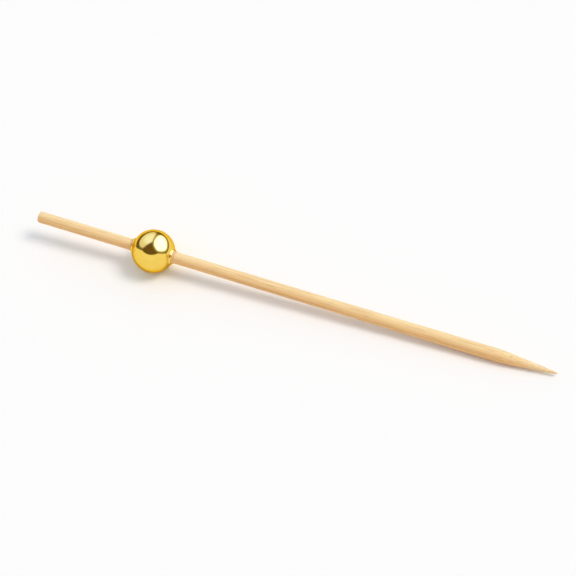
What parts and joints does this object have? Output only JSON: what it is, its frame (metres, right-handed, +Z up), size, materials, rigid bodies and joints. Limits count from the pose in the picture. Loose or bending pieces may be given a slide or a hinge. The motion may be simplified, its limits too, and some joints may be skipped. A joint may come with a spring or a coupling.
{
  "type": "cocktail pick",
  "caption": "Bamboo cocktail pick with a gold ball bead glued on near its blunt end, for spearing finger food and drink garnishes.",
  "frame": {"origin": "on the table under the middle of the pick's box, with the pick lying on its bead and on the shoulder of its point", "axes": "+X towards the point, +Z up from the table, +Y across the stick"},
  "size_m": [0.12, 0.0096, 0.0096],
  "materials": {
    "bamboo": "bare bamboo, sanded satin, fine lengthwise fibres",
    "gold_plating": "vacuum-plated gold mirror on moulded plastic",
    "clear_glue": "clear glue, set hard"
  },
  "bodies": {
    "root": {"bamboo_stick": "bamboo", "gold_bead": "gold_plating", "glue_bond": "clear_glue"}
  },
  "joints": []
}
